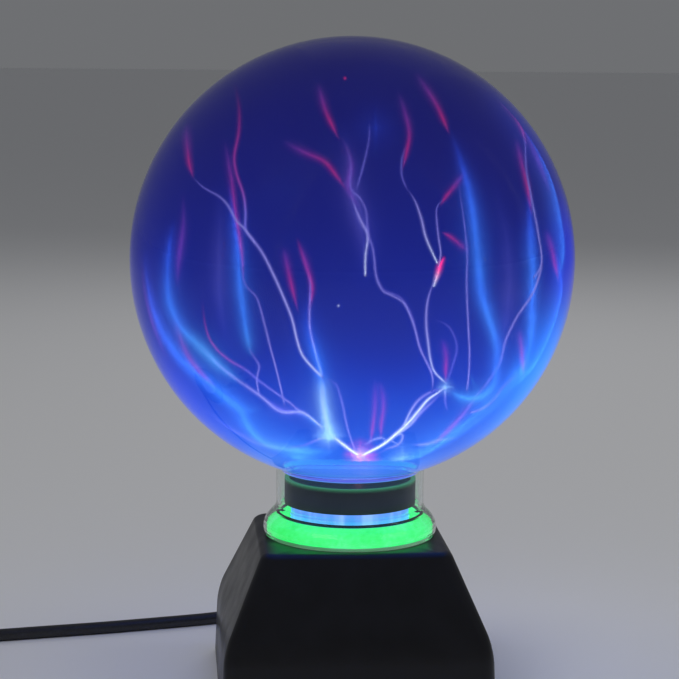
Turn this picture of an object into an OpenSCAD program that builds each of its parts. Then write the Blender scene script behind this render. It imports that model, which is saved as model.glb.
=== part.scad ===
// Plasma ball: a sealed glass globe standing on a square tapered base.
// Origin: centre of the feet, on the surface the lamp stands on. +Z is up and -Y is the front.

/* [Globe] */
// Outer radius of the glass globe
globe_r = 100; // [90:1:110]
// Thickness of the globe's glass
glass_t = 2; // [1.5:0.5:3]
// Height of the globe's centre above the table
globe_z = 198; // [188:1:208]
// Outer radius of the glass neck under the globe
neck_r = 33.8; // [33:0.2:34.6]
// Thickness of the neck's glass
neck_t = 1.8; // [1.4:0.2:2]
// Outer radius of the neck's flared foot
flare_r = 39.7; // [39.7:0.1:40.5]

/* [Base] */
// Half the width of the base at the bottom of its skirt
base_half = 60.5; // [60:0.5:64]
// Half the width of the base's flat top
top_half = 42; // [41.5:0.5:44]
// Height of the base's flat top above the table
top_z = 72; // [71.9:0.1:72.2]
// Height of the upright skirt
skirt_z = 30; // [28:1:31]
// Wall thickness of the base
wall = 2.5; // [2:0.5:2.5]
// How far the rubber feet lift the base off the table
foot_lift = 1.5; // [1.5:0.5:2]
// Radius of a rubber foot
foot_r = 5.5; // [4:0.5:6]

/* [Neck fittings] */
// Radius of the dark insulating collar
collar_r = 30; // [28:0.5:31]
// Radius of the shiny band under the collar
band_r = 27; // [26:0.5:28]
// Number of green lamps under the glowing ring
led_count = 12; // [6:1:18]
// Sideways offset of the electrode from the neck's centre
electrode_x = 4; // [0:1:6]

/* [Circuit board] */
// Width of the main circuit board
board_w = 76; // [72:1:80]
// Depth of the main circuit board
board_d = 60; // [58:1:62]
// Thickness of the circuit board
board_t = 1.6; // [1:0.2:2]

/* [Switch] */
// Distance of the switch from the middle of the rear face
switch_x = 27; // [25:1:30]
// Tilt of the rocker to either side of its middle position, in degrees
rocker_tilt = 11; // [8:1:12]

/* [Cord] */
// Thickness of the power cord
cord_d = 6; // [5:0.5:6]
// Turns of the coil side by side
coil_turns = 3; // [2:1:3]
// Layers of the coil, one on another
coil_layers = 2; // [1:1:2]
// Radius of the coil's innermost turn
coil_inner_r = 27; // [26:1:30]

/* [Hidden] */
$fn = 96;
gap = 0.3;

// Levels of the base's outline: half width, height and corner radius
taper = (base_half - 1.3 - top_half) / (top_z - skirt_z);
base_levels = [
    [base_half, foot_lift, 6],
    [base_half - 1.3, skirt_z, 6],
    [base_half - 1.9, skirt_z + 4, 6],
    [base_half - 3.5, skirt_z + 8, 6],
    [top_half + 0.8, top_z - 2.5, 5],
    [top_half, top_z - 1, 4.5],
    [top_half - 1.2, top_z, 4]
];
opening_r = 29.5;
plate_half = base_half - wall - 1;
plate_top = foot_lift + 2.5;
boss_xy = 49;
boss_r = 4;
boss_top = 46;
pilot_r = 1.25;
foot_x = 47;
foot_y = 33;

// The neck, from its flared foot up to the globe
neck_inner = neck_r - neck_t;
flare_top = top_z + 14;
junction_z = globe_z - sqrt(globe_r * globe_r - neck_r * neck_r);
flare_foot = top_z + 0.3;
floor_top = junction_z + 0.7;
floor_t = 3;
floor_r = neck_inner - 0.4;
collar_top = 98.5;
collar_bottom = 87;
led_board_z = top_z + 0.2;
led_board_t = 1.2;
diffuser_z = led_board_z + led_board_t + 0.4;

// The circuit board and what stands on it
board_y = -8;
board_z = 16;
parts_z = board_z + board_t;
standoff_x = board_w / 2 - 5;
standoff_y = board_d / 2 - 5;
core_x = -16;
core_top = parts_z + 28;
sink_x = 27;

// The high-voltage lead, from the top of the transformer to the electrode
lead_route = [
    [-10, board_y, core_top + 0.1], [-10, board_y, 49], [-8.5, board_y + 0.5, 52], [-5, board_y + 2.5, 53.5],
    [0, board_y + 6, 54], [electrode_x - 1, board_y + 7.5, 55.5], [electrode_x, 0, 59], [electrode_x, 0, 75],
    [electrode_x, 0, floor_top - 6.1]
];

// The switch in the rear face
switch_z = 17;
rear_y = base_half - 0.7;
rocker_w = 18;
rocker_h = 12;
pivot_y = rear_y - 1.4;
pivot_r = 1.2;

// The cord: where it leaves the base, and its route to the coil
cord_r = cord_d / 2;
exit_x = -10;
exit_z = 15;
boot_length = 26.2;
route = [
    [-10, 86, 15], [-11, 92, 14], [-15, 99, 12], [-22, 105, 9], [-31, 108, 6], [-41, 108, 4],
    [-53, 104, 3], [-67, 99, 3], [-90, 93, 3], [-115, 87, 3], [-140, 82, 3], [-165, 77, 3],
    [-190, 72, 3], [-215, 70, 3]
];
coil_x = -215;
coil_y = 31;
coil_outer_r = coil_inner_r + (coil_turns - 1) * cord_d + cord_r;
coil_height = coil_layers * cord_d;
tail_route = [
    [-215, -8, 9], [-206.8, -9.5, 9], [-199.6, -13.6, 8.6], [-194.2, -20, 8], [-191.6, -27, 7.3],
    [-191, -34, 7], [-191, -40, 7]
];
plug_x = -191;
plug_y = -40;
plug_z = 7;

// Positions of four things at the corners of a rectangle
module four(x, y) {
    for (sx = [-1, 1], sy = [-1, 1]) translate([sx * x, sy * y, 0]) children();
}

// A ring between two radii and two heights
module ring(r_in, r_out, z0, z1) {
    translate([0, 0, z0]) difference() {
        cylinder(r = r_out, h = z1 - z0);
        translate([0, 0, -1]) cylinder(r = r_in, h = z1 - z0 + 2);
    }
}

// The solid inside the base's outline, made smaller by inset on every side
module base_shape(inset) {
    hull() for (level = base_levels, sx = [-1, 1], sy = [-1, 1]) {
        r = level[2] - inset / 2;
        half = level[0] - inset - r;
        translate([sx * half, sy * half, level[1] - (level[1] > foot_lift ? inset : 0)])
            cylinder(r = r, h = 0.01, $fn = 32);
    }
}

// A round tube swept along a list of points. "across" is a direction that the path never runs along
function direction(path, i) =
    let (a = path[max(i - 1, 0)], b = path[min(i + 1, len(path) - 1)]) (b - a) / norm(b - a);
function side_of(d, across) = let (s = cross(across, d)) s / norm(s);
function tube_points(path, r, sides, across) = [
    for (i = [0 : len(path) - 1]) let (d = direction(path, i), s = side_of(d, across), u = cross(d, s))
        for (k = [0 : sides - 1]) path[i] + r * (cos(k * 360 / sides) * s + sin(k * 360 / sides) * u)
];
function tube_faces(count, sides) = concat(
    [[for (k = [0 : sides - 1]) k]],
    [for (i = [0 : count - 2], k = [0 : sides - 1]) let (a = i * sides, n = (k + 1) % sides)
        [a + k, a + sides + k, a + sides + n, a + n]],
    [[for (k = [sides - 1 : -1 : 0]) (count - 1) * sides + k]]
);

module tube(path, r, sides, across = [0, 0, 1]) {
    polyhedron(tube_points(path, r, sides, across), tube_faces(len(path), sides), convexity = 8);
}

module base_housing() {
    color([0.02, 0.02, 0.025]) difference() {
        union() {
            difference() {
                base_shape(0);
                translate([0, 0, -0.01]) base_shape(wall);
            }
            intersection() {
                base_shape(wall / 2);
                four(boss_xy, boss_xy) translate([0, 0, plate_top + 0.1])
                    cylinder(r = boss_r, h = boss_top - plate_top, $fn = 32);
            }
        }
        translate([0, 0, top_z - 10]) cylinder(r = opening_r, h = 20);
        four(boss_xy, boss_xy) translate([0, 0, 0]) cylinder(r = pilot_r, h = 20, $fn = 24);
        translate([switch_x - 9.9, rear_y - 10, switch_z - 7.4]) cube([19.8, 20, 14.8]);
        translate([exit_x, rear_y - 10, exit_z]) rotate([-90, 0, 0]) cylinder(r = 4.6, h = 20, $fn = 48);
    }
}

module bottom_plate() {
    corner = 5;
    side = plate_half - corner;
    color([0.03, 0.03, 0.035]) difference() {
        translate([0, 0, foot_lift]) union() {
            translate([-plate_half, -side, 0]) cube([2 * plate_half, 2 * side, plate_top - foot_lift]);
            translate([-side, -plate_half, 0]) cube([2 * side, 2 * plate_half, plate_top - foot_lift]);
            four(side, side) cylinder(r = corner, h = plate_top - foot_lift);
        }
        four(boss_xy, boss_xy) cylinder(r = 1.6, h = 10, $fn = 32);
        four(boss_xy, boss_xy) cylinder(r = 3.3, h = foot_lift + 1.3, $fn = 32);
        four(foot_x, foot_y) cylinder(r = foot_r + 0.05, h = foot_lift + 0.8);
        for (k = [-3 : 3]) translate([k * 8 - 1.5, -20, 0]) cube([3, 30, 10]);
    }
}

module screw(head_r, head_h, shank_r, length) {
    difference() {
        union() {
            cylinder(r = head_r, h = head_h, $fn = 32);
            cylinder(r = shank_r, h = length, $fn = 32);
        }
        for (turn = [0, 90]) rotate(turn) translate([-head_r * 0.6, -0.35, -1])
            cube([head_r * 1.2, 0.7, 1 + head_h * 0.6]);
    }
}

module housing_screws() {
    color([0.6, 0.6, 0.62]) four(boss_xy, boss_xy) translate([0, 0, foot_lift - 0.3])
        screw(3, 1.6, pilot_r - 0.02, 14);
}

module rubber_feet() {
    color([0.05, 0.05, 0.05]) four(foot_x, foot_y) difference() {
        cylinder(r = foot_r, h = foot_lift + 0.8);
        translate([0, 0, -1]) cylinder(r = foot_r - 3, h = 1.5, $fn = 32);
    }
}

// Outline of the neck's flared foot: outer points going up, then inner points going down
flare_outer = [
    [flare_r - 0.9, flare_foot], [flare_r - 0.3, flare_foot + 1], [flare_r, flare_foot + 2.6],
    [flare_r - 0.1, flare_foot + 4.4], [flare_r - 0.6, flare_foot + 6.2], [flare_r - 1.6, flare_foot + 7.9],
    [flare_r - 3, flare_foot + 9.6], [neck_r + 1.4, flare_foot + 11.2], [neck_r + 0.4, flare_foot + 12.7],
    [neck_r, flare_top]
];
flare_inner = [
    [neck_inner, flare_top - 1], [neck_inner + 0.7, flare_top - 2.2], [neck_r + 0.2, flare_foot + 9.8],
    [flare_r - 4, flare_foot + 8.3], [flare_r - 2.6, flare_foot + 6.9], [flare_r - 1.7, flare_foot + 5.4],
    [flare_r - 1.3, flare_foot + 3.9], [flare_r - 1.2, flare_foot + 2.6], [flare_r - 1.5, flare_foot]
];

module glass_globe() {
    color([0.75, 0.85, 1, 0.3]) translate([0, 0, globe_z]) difference() {
        sphere(r = globe_r, $fn = 128);
        sphere(r = globe_r - glass_t, $fn = 128);
        translate([0, 0, -globe_r - 5]) cylinder(r = floor_r + 0.1, h = 20);
    }
}

// The clear neck that the globe stands in: a tube with a flared foot, its top cut to the globe's curve
module glass_neck() {
    color([0.75, 0.85, 1, 0.3]) difference() {
        union() {
            translate([0, 0, flare_top - 0.5]) cylinder(r = neck_r, h = junction_z - flare_top + 0.5);
            rotate_extrude() polygon(concat([[1, flare_foot]], flare_outer, [[1, flare_top]]));
        }
        translate([0, 0, globe_z]) sphere(r = globe_r + 0.1, $fn = 128);
        translate([0, 0, flare_top - 2]) cylinder(r = neck_inner, h = junction_z - flare_top + 8);
        rotate_extrude() polygon(concat(
            [[0, flare_top]], [[neck_inner, flare_top]], flare_inner,
            [[flare_r - 1.5, flare_foot - 1], [0, flare_foot - 1]]
        ));
    }
}

// The flat glass floor that closes the hole in the bottom of the globe
module glass_floor() {
    color([0.8, 0.9, 1, 0.3]) difference() {
        rotate_extrude() polygon([
            [0, floor_top - floor_t], [floor_r - 1, floor_top - floor_t], [floor_r, floor_top - floor_t + 1],
            [floor_r, floor_top], [0, floor_top]
        ]);
        translate([electrode_x, 0, 0]) cylinder(r = 1.25, h = globe_z, $fn = 32);
    }
}

module electrode_tip() {
    color([0.7, 0.7, 0.72]) translate([electrode_x, 0, 0]) {
        translate([0, 0, floor_top - 6]) cylinder(r = 1.2, h = 7.2, $fn = 32);
        translate([0, 0, floor_top + 1.2]) sphere(r = 1.6, $fn = 32);
    }
}

module high_voltage_lead() {
    color([0.75, 0.1, 0.08]) tube(lead_route, 1.5, 10, [0, 1, 0]);
}

module insulating_collar() {
    color([0.03, 0.035, 0.04]) difference() {
        ring(3, collar_r, collar_bottom, collar_top);
        translate([electrode_x, 0, 0]) cylinder(r = 3.5, h = globe_z, $fn = 48);
        translate([0, 0, collar_top - 2]) cylinder(r = collar_r - 2, h = 5);
    }
}

module reflector_band() {
    color([0.8, 0.85, 0.9]) ring(band_r - 0.6, band_r, top_z + 0.5, collar_bottom - 0.1);
}

module neck_cup() {
    seat = band_r - 0.8;
    color([0.9, 0.9, 0.88]) {
        ring(seat - 2, seat, top_z - 14, collar_bottom - 0.1);
        difference() {
            ring(seat - 1, opening_r + 8, top_z - 5, top_z - wall - 0.1);
            translate([-opening_r - 2, -3, top_z - 6]) cube([4.4, 6, 10]);
        }
        difference() {
            ring(0.5, seat - 1, top_z - 14, top_z - 12);
            translate([electrode_x, 0, 0]) cylinder(r = 3, h = globe_z, $fn = 48);
        }
    }
}

module seal_ring() {
    color([0.02, 0.02, 0.02]) translate([0, 0, diffuser_z + 8.2]) rotate_extrude()
        translate([neck_inner + 0.4, 0]) circle(r = 0.7, $fn = 24);
}

module diffuser_ring() {
    out = flare_r - 1.8;
    color([0.4, 1, 0.6]) rotate_extrude() polygon([
        [neck_inner + 0.2, diffuser_z + 1.8], [out - 2, diffuser_z + 1.8], [out - 2, diffuser_z],
        [out, diffuser_z], [out, diffuser_z + 2.4], [out - 0.7, diffuser_z + 4.2],
        [out - 2, diffuser_z + 5.7], [out - 4, diffuser_z + 7.4], [neck_inner + 0.2, diffuser_z + 7.4]
    ]);
}

module led_board() {
    color([0.9, 0.92, 0.9]) ring(band_r + 0.5, flare_r - 3, led_board_z, led_board_z + led_board_t);
}

module green_leds() {
    color([0.6, 1, 0.7]) for (k = [0 : led_count - 1]) rotate(k * 360 / led_count)
        translate([neck_inner + 0.8, -1.4, led_board_z + led_board_t]) cube([2.8, 2.8, 1.4]);
}

module led_wires() {
    start_z = core_top + 1;
    color([0.7, 0.7, 0.1]) for (side = [-1, 1]) translate([-band_r - 1.3, side * 1.5, start_z])
        cylinder(r = 0.6, h = led_board_z - start_z, $fn = 16);
}

module main_circuit_board() {
    color([0.08, 0.3, 0.14]) translate([0, board_y, board_z]) difference() {
        translate([-board_w / 2, -board_d / 2, 0]) cube([board_w, board_d, board_t]);
        four(standoff_x, standoff_y) translate([0, 0, -1]) cylinder(r = 1.7, h = 5, $fn = 32);
    }
}

module board_standoffs() {
    color([0.85, 0.7, 0.35]) translate([0, board_y, 0]) four(standoff_x, standoff_y)
        ring(1.25, 3, plate_top, board_z);
}

module board_screws() {
    color([0.6, 0.6, 0.62]) translate([0, board_y, parts_z + 1.6]) four(standoff_x, standoff_y)
        mirror([0, 0, 1]) screw(2.8, 1.6, 1.2, 10);
}

module transformer_core() {
    color([0.12, 0.12, 0.13]) translate([core_x, board_y, parts_z + 2]) difference() {
        translate([-15, -6, 0]) cube([30, 12, 26]);
        for (side = [-1, 1]) translate([side * 8 - 3.2, -7, 5]) cube([6.4, 14, 16]);
    }
}

module transformer_coil() {
    color([0.5, 0.28, 0.12]) translate([core_x, board_y, parts_z + 2]) difference() {
        translate([0, 0, 5.2]) cylinder(r = 10.6, h = 15.6);
        translate([-4.9, -6.1, 0]) cube([9.8, 12.2, 26]);
        for (side = [-1, 1]) translate([side * 16.1 - 5, -7, 0]) cube([10, 14, 26]);
    }
}

module power_transistor() {
    color([0.05, 0.05, 0.055]) translate([sink_x - 4.7, board_y, 0]) {
        translate([-0.8, -5, parts_z + 6]) difference() {
            cube([0.8, 10, 15]);
            translate([-1, 5, 12.5]) rotate([0, 90, 0]) cylinder(r = 1.7, h = 4, $fn = 32);
        }
        translate([-4.5, -5, parts_z + 6]) cube([3.8, 10, 9]);
        for (k = [-1 : 1]) translate([-3, k * 2.5 - 0.4, parts_z]) cube([0.6, 0.8, 6.2]);
    }
}

module transistor_screw() {
    color([0.6, 0.6, 0.62]) translate([sink_x - 7.2, board_y, parts_z + 18.5]) rotate([0, 90, 0])
        screw(2.6, 1.6, 1.2, 6);
}

module heat_sink() {
    color([0.7, 0.7, 0.72]) translate([sink_x, board_y, parts_z]) difference() {
        union() {
            translate([-4.6, -14, 0]) cube([3, 28, 26]);
            for (k = [-3 : 3]) translate([-2, k * 4.4 - 0.7, 0]) cube([11, 1.4, 26]);
        }
        translate([-6, 0, 18.5]) rotate([0, 90, 0]) cylinder(r = 1.25, h = 8, $fn = 32);
    }
}

module filter_capacitor() {
    color([0.1, 0.14, 0.3]) translate([4, board_y + 18, parts_z]) difference() {
        cylinder(r = 8, h = 22);
        translate([0, 0, 21.6]) cylinder(r = 6.6, h = 1, $fn = 64);
    }
}

module small_capacitors() {
    color([0.6, 0.35, 0.1]) for (k = [0 : 2]) translate([-28 + k * 9, board_y + 20, parts_z])
        cylinder(r = 3, h = 8, $fn = 48);
}

module resistors() {
    color([0.75, 0.65, 0.5]) for (k = [0 : 3]) translate([2 + k * 5, board_y - 14, parts_z + 1.6])
        rotate([90, 0, 0]) {
            cylinder(r = 1.4, h = 7, $fn = 32);
            translate([0, 0, -3]) cylinder(r = 0.35, h = 13, $fn = 16);
        }
}

module fuse() {
    color([0.85, 0.88, 0.9]) translate([-24, board_y - 20, parts_z + 3.4]) rotate([0, 90, 0]) {
        cylinder(r = 2.5, h = 20, $fn = 48);
        for (end = [-0.4, 15.4]) translate([0, 0, end]) cylinder(r = 3, h = 5, $fn = 48);
    }
}

module microphone() {
    color([0.75, 0.75, 0.76]) translate([-34, board_y + 8, parts_z]) difference() {
        cylinder(r = 2.8, h = 6, $fn = 48);
        translate([0, 0, 5.4]) cylinder(r = 2, h = 1, $fn = 48);
    }
}

module switch_body() {
    half_w = rocker_w / 2;
    half_h = rocker_h / 2;
    color([0.02, 0.02, 0.02]) translate([switch_x, 0, switch_z]) difference() {
        union() {
            translate([-half_w - 2.5, rear_y + 0.4, -half_h - 2.8])
                cube([rocker_w + 5, 1.6, rocker_h + 5.6]);
            translate([-half_w - 0.7, rear_y - 16, -half_h - 1.2])
                cube([rocker_w + 1.4, 17, rocker_h + 2.4]);
        }
        translate([-half_w - 0.2, rear_y - 9, -half_h - gap]) cube([rocker_w + 0.4, 20, rocker_h + 2 * gap]);
        translate([0, pivot_y, -half_h - 1]) cylinder(r = pivot_r + 0.05, h = rocker_h + 2, $fn = 32);
    }
}

// The rocker lies pressed down at its left-hand end, which is the "on" position
module switch_rocker() {
    half_w = rocker_w / 2 - 0.7;
    color([0.05, 0.05, 0.05]) translate([switch_x, pivot_y, switch_z]) rotate(-rocker_tilt) {
        translate([0, 0, -rocker_h / 2]) linear_extrude(rocker_h) polygon([
            [-half_w, 4.6], [0, 3.3], [half_w, 4.6], [half_w, 1.4], [2.6, -3.4], [-2.6, -3.4], [-half_w, 1.4]
        ]);
        translate([0, 0, -rocker_h / 2 - 0.9]) cylinder(r = pivot_r, h = rocker_h + 1.8, $fn = 32);
    }
}

module switch_wires() {
    color([0.1, 0.2, 0.6]) for (side = [-1, 1]) translate([switch_x + side * 5, rear_y - 24, switch_z])
        rotate([-90, 0, 0]) cylinder(r = 1, h = 7.9, $fn = 16);
}

module strain_relief() {
    color([0.03, 0.03, 0.03]) translate([exit_x, 0, exit_z]) rotate([-90, 0, 0]) difference() {
        rotate_extrude() polygon([
            [0, rear_y - 5], [6, rear_y - 5], [6, rear_y - 2.9], [4.4, rear_y - 2.9], [4.4, rear_y + 0.4],
            [6, rear_y + 0.4], [6, rear_y + 2], [5.4, rear_y + 3], [3.7, rear_y + boot_length],
            [0, rear_y + boot_length]
        ]);
        for (k = [0 : 3], turn = [0, 180]) rotate(turn) translate([3.3, -3, rear_y + 6.5 + k * 4.5])
            cube([3, 6, 1.4]);
    }
}

module power_cord() {
    color([0.03, 0.03, 0.03]) tube(route, cord_r, 12);
}

module cord_coil() {
    color([0.03, 0.03, 0.03]) translate([coil_x, coil_y, 0])
        ring(coil_inner_r - cord_r, coil_outer_r, 0, coil_height);
}

module cord_tail() {
    color([0.03, 0.03, 0.03]) tube(tail_route, cord_r, 12);
}

module plug_body() {
    color([0.03, 0.03, 0.03]) translate([plug_x, plug_y, plug_z]) {
        rotate([90, 0, 0]) cylinder(r1 = 3.6, r2 = 5.2, h = 12);
        translate([0, -12, 0]) hull() for (sx = [-1, 1], y = [0, -18])
            translate([sx * (y < 0 ? 10.5 : 3), y, 0]) rotate([90, 0, 0])
                cylinder(r = y < 0 ? 6.8 : 5.2, h = 1, $fn = 32);
        translate([0, -31, 0]) hull() for (sx = [-1, 1])
            translate([sx * 10.5, 0, 0]) rotate([90, 0, 0]) cylinder(r = 6.8, h = 5, $fn = 32);
    }
}

module plug_pins() {
    color([0.8, 0.8, 0.82]) translate([plug_x, plug_y - 36, plug_z]) for (sx = [-1, 1])
        translate([sx * 9.5, 0, 0]) rotate([90, 0, 0]) {
            cylinder(r = 2, h = 17.5, $fn = 48);
            translate([0, 0, 17.5]) sphere(r = 2, $fn = 48);
        }
}

base_housing();
bottom_plate();
housing_screws();
rubber_feet();
glass_globe();
glass_neck();
glass_floor();
electrode_tip();
high_voltage_lead();
insulating_collar();
reflector_band();
neck_cup();
seal_ring();
diffuser_ring();
led_board();
green_leds();
led_wires();
main_circuit_board();
board_standoffs();
board_screws();
transformer_core();
transformer_coil();
power_transistor();
transistor_screw();
heat_sink();
filter_capacitor();
small_capacitors();
resistors();
fuse();
microphone();
switch_body();
switch_rocker();
switch_wires();
strain_relief();
power_cord();
cord_coil();
cord_tail();
plug_body();
plug_pins();
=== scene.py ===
import math

import bmesh
import bpy
from mathutils import Matrix, Vector


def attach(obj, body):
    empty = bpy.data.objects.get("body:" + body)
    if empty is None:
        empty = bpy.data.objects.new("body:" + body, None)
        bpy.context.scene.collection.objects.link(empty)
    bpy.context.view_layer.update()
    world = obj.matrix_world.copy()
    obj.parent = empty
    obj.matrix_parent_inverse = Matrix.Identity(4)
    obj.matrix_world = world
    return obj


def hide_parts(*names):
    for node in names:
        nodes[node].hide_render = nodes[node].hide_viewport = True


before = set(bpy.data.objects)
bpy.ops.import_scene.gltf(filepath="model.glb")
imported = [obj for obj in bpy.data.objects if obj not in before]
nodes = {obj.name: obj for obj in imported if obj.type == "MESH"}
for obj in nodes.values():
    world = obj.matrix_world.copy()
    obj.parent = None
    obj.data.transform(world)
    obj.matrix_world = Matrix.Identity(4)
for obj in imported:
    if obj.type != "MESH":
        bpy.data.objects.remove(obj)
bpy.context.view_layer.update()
lampBody = "lamp"
mm = 0.001
print("frame loaded:", len(nodes), "CAD nodes")


# the camera: far off, a little to the left of the front, looking slightly down
camera = dict(
    lens=106.0, sensor=36, right=-5.4, away=898.5, height=291.0, turn=-4.9, down=8.2, lean=0.5,
    glowLayers=48  # how many soft glows may lie behind each other
)
# from right and back in the view to X and Y
turnToView = Matrix.Rotation(math.radians(camera["turn"]), 4, "Z")
cameraData = bpy.data.cameras.new("camera")
cameraObject = bpy.data.objects.new("camera", cameraData)
bpy.context.collection.objects.link(cameraObject)
cameraData.lens = camera["lens"]
cameraData.sensor_width = camera["sensor"]
cameraObject.matrix_world = (
    turnToView
    @ Matrix.Translation(Vector((camera["right"], -camera["away"], camera["height"])) * mm)
    @ Matrix.Rotation(math.radians(90 - camera["down"]), 4, "X")
    @ Matrix.Rotation(math.radians(camera["lean"]), 4, "Z")
)
bpy.context.scene.camera = cameraObject
bpy.context.scene.view_settings.view_transform = "Standard"
bpy.context.scene.cycles.transparent_max_bounces = camera["glowLayers"]
print("camera placed")


# a line through the points with no corners, with each stretch cut into steps
def smoothPath(points, steps):
    path = []
    for i in range(len(points) - 1):
        before, here, there = points[max(i - 1, 0)], points[i], points[i + 1]
        after = points[min(i + 2, len(points) - 1)]
        for k in range(steps):
            t = k / steps
            path.append(0.5 * (2 * here + (there - before) * t
                               + (2 * before - 5 * here + 4 * there - after) * t * t
                               + (3 * here - before - 3 * there + after) * t ** 3))
    path.append(points[-1].copy())
    return path


# the finished mesh as a piece that rides on the lamp
def keep(bm, name, smooth=True):
    mesh = bpy.data.meshes.new(name)
    bm.to_mesh(mesh)
    bm.free()
    made = bpy.data.objects.new(name, mesh)
    bpy.context.collection.objects.link(made)
    if smooth:
        mesh.polygons.foreach_set("use_smooth", [True] * len(mesh.polygons))
    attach(made, lampBody)
    return made


sockets = dict(color="Base Color", roughness="Roughness", metallic="Metallic", clear="Transmission Weight",
               ior="IOR", alpha="Alpha", glow="Emission Color", strength="Emission Strength",
               shine="Specular IOR Level")


# a new material with its even values set on the shader itself
def newMaterial(name, **values):
    made = bpy.data.materials.new(name)
    made.use_nodes = True
    shader = made.node_tree.nodes["Principled BSDF"]
    for key, value in values.items():
        shader.inputs[sockets[key]].default_value = (*value, 1) if isinstance(value, tuple) else value
    return made, made.node_tree, shader


# a node with its inputs linked or set
def add(tree, kind, inputs=(), **settings):
    node = tree.nodes.new(kind)
    for key, value in settings.items():
        setattr(node, key, value)
    for key, value in dict(inputs).items():
        if isinstance(value, bpy.types.NodeSocket):
            tree.links.new(value, node.inputs[key])
        else:
            node.inputs[key].default_value = value
    return node


# the outcome of one operation on two values
def sums(tree, operation, a, b=0.0, clamp=False):
    return add(tree, "ShaderNodeMath", {0: a, 1: b}, operation=operation, use_clamp=clamp).outputs[0]


# a colour ramp from (place, colour) pairs
def ramp(tree, value, stops, blend="LINEAR"):
    node = add(tree, "ShaderNodeValToRGB", {0: value})
    node.color_ramp.interpolation = blend
    points = node.color_ramp.elements
    while len(points) < len(stops):
        points.new(0.5)
    for point, (place, color) in zip(points, stops):
        point.position = place
        point.color = (*color, 1)
    return node.outputs[0]


def objectPoint(tree):
    return add(tree, "ShaderNodeTexCoord").outputs["Object"]


# 0 at height low and 1 at height high, both in millimetres
def heightIn(tree, low, high):
    z = add(tree, "ShaderNodeSeparateXYZ", {0: objectPoint(tree)}).outputs[2]
    span = {"Value": z, "From Min": low * mm, "From Max": high * mm}
    return add(tree, "ShaderNodeMapRange", span).outputs[0]


# relief on the surface; its depth is in metres
def bump(tree, shader, height, strength, depth):
    made = add(tree, "ShaderNodeBump", {"Height": height, "Strength": strength, "Distance": depth})
    tree.links.new(made.outputs[0], shader.inputs["Normal"])


# plastic, rubber, metal or ceramic with a fine grain and slightly uneven colour and gloss
def moulded(name, color, roughness=0.4, grain=1500, relief=0.00003, change=0.15, stretch=(1, 1, 1), **values):
    made, tree, shader = newMaterial(name, **values)
    place = add(tree, "ShaderNodeMapping", {"Vector": objectPoint(tree), "Scale": stretch}).outputs[0]
    fine = add(tree, "ShaderNodeTexNoise", {"Vector": place, "Scale": grain, "Detail": 2.0}).outputs[0]
    broad = add(tree, "ShaderNodeTexNoise", {"Vector": place, "Scale": grain / 25, "Detail": 3.0}).outputs[0]
    dark = tuple(c * (1 - change) for c in color)
    light = tuple(min(c * (1 + change), 1) for c in color)
    tree.links.new(ramp(tree, broad, [(0.3, dark), (0.7, light)]), shader.inputs["Base Color"])
    gloss = add(tree, "ShaderNodeMapRange", {"Value": broad, "From Min": 0.3, "From Max": 0.7,
                                             "To Min": roughness * 0.85, "To Max": roughness * 1.15})
    tree.links.new(gloss.outputs[0], shader.inputs["Roughness"])
    bump(tree, shader, fine, 0.5, relief)
    return made


# gives a CAD node its material
def paint(node, material):
    mesh = nodes[node].data
    mesh.materials.clear()
    mesh.materials.append(material)


# the power cord: from the boot behind the base, along the table and into a coil
cord = dict(
    radius=3.0, exit=(-10, 60, 15), inBoot=(-10, 78, 15), coilCentre=(-215, 31), innerTurn=27.0,
    turnStep=6.0, layerStep=6.0, pointsPerTurn=24, cuts=3, roundness=4,
    # in degrees of its turning: where it steps in or out, climbs to the second layer and leaves
    steps=[(300, -1), (660, -1), (1260, 1), (1620, 1)], stepTurn=60, climb=(950, 1020), lastTurn=1980
)
cordRoute = [
    (-10, 85, 15), (-11, 92, 14), (-15, 99, 12), (-22, 105, 9), (-31, 108, 6), (-41, 108, 4),
    (-53, 104, 3), (-67, 99, 3), (-90, 93, 3), (-115, 87, 3), (-140, 82, 3), (-165, 77, 3),
    (-190, 72, 3)
]
tailRoute = [
    (-206.8, -9.5, 9), (-199.6, -13.6, 8.6), (-194.2, -20, 8), (-191.6, -27, 7.3), (-191, -34, 7),
    (-191, -42, 7)
]


# 0 before start, 1 after end, and smooth in between
def eased(value, start, end):
    t = min(max((value - start) / (end - start), 0), 1)
    return (3 - 2 * t) * t * t


# a point on the coil after the cord has turned by angle degrees: in by two steps, up, and out again
def coilPoint(angle):
    radius = cord["innerTurn"] + 2 * cord["turnStep"]
    for start, way in cord["steps"]:
        radius += way * cord["turnStep"] * eased(angle, start, start + cord["stepTurn"])
    z = cord["radius"] + cord["layerStep"] * eased(angle, *cord["climb"])
    a = math.radians(90 + angle)
    x, y = cord["coilCentre"]
    return Vector((x + radius * math.cos(a), y + radius * math.sin(a), z))


def rubberSheath(name):
    made, tree, shader = newMaterial(name, color=(0.02, 0.02, 0.022), roughness=0.42)
    noise = add(tree, "ShaderNodeTexNoise", {"Vector": objectPoint(tree), "Scale": 900.0,
                                             "Detail": 3.0}).outputs[0]
    tree.links.new(ramp(tree, noise, [(0.3, (0.013, 0.013, 0.015)), (0.75, (0.03, 0.03, 0.033))]),
                   shader.inputs["Base Color"])
    gloss = add(tree, "ShaderNodeMapRange", {"Value": noise, "To Min": 0.34, "To Max": 0.52}).outputs[0]
    tree.links.new(gloss, shader.inputs["Roughness"])
    bump(tree, shader, noise, 0.4, 0.00006)
    return made


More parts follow.
